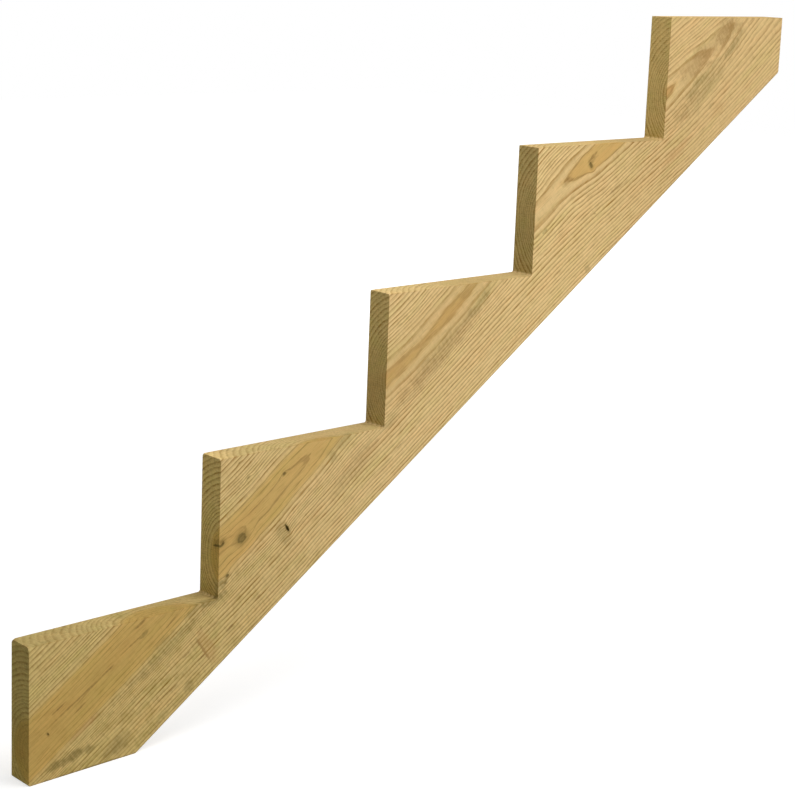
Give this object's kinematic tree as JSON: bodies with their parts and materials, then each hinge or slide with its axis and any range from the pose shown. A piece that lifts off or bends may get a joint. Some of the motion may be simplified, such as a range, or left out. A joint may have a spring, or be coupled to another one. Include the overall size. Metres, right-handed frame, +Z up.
{
  "type": "stair stringer",
  "caption": "Notched sloping board of treated pine that carries the treads and risers of a straight stair, with a level foot and a plumb head.",
  "frame": {"origin": "the toe: the edge where the lowest riser face meets the floor, in the middle of the board's thickness", "axes": "+X level along the climb, +Y through the board's thickness, +Z up"},
  "size_m": [1.3991, 0.0382, 0.9116],
  "materials": {
    "treated_pine": "dressed faces and sawn cuts, unpainted, with a faint green tint from the preservative"
  },
  "bodies": {
    "root": {"stringer": "treated_pine"}
  },
  "joints": []
}
